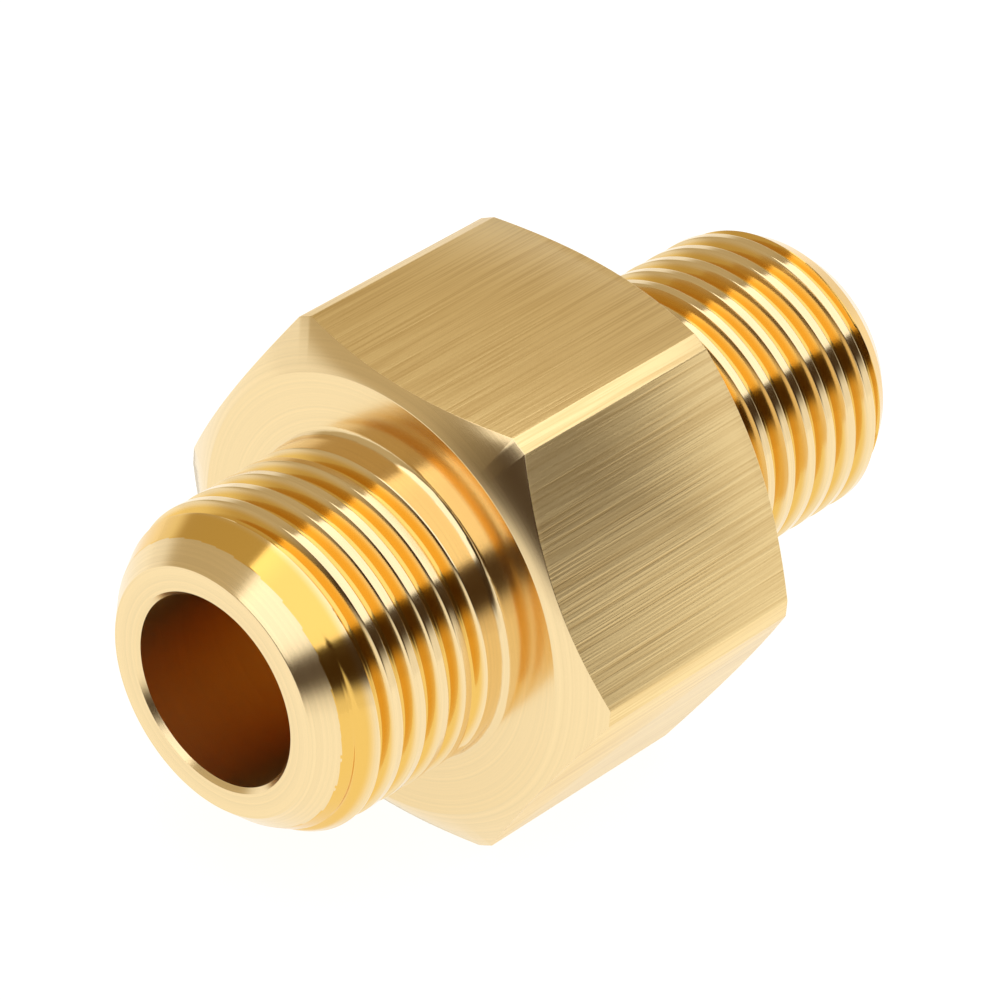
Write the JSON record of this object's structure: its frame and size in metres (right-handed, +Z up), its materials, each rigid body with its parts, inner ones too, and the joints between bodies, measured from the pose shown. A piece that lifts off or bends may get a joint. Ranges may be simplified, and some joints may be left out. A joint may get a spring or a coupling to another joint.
{
  "type": "reducing hex nipple",
  "caption": "Brass reducing hex nipple with a larger and a smaller male thread either side of a wrench hexagon, and a straight bore right through.",
  "frame": {"origin": "on the axis of the waterway, halfway along the hexagon", "axes": "+X along the waterway, from the larger male end to the smaller one; +Z up, square to the wrench flat that faces up; the fitting lies on the flat that faces -Z"},
  "size_m": [0.0545, 0.0362, 0.032],
  "materials": {
    "milled_hexagon": "drawn flats with fine lengthwise lines, turned washer faces and chamfers",
    "turned_brass": "bright turned and thread cut"
  },
  "bodies": {
    "root": {"hex_body": "milled_hexagon", "large_male_end": "turned_brass", "small_male_end": "turned_brass"}
  },
  "joints": []
}
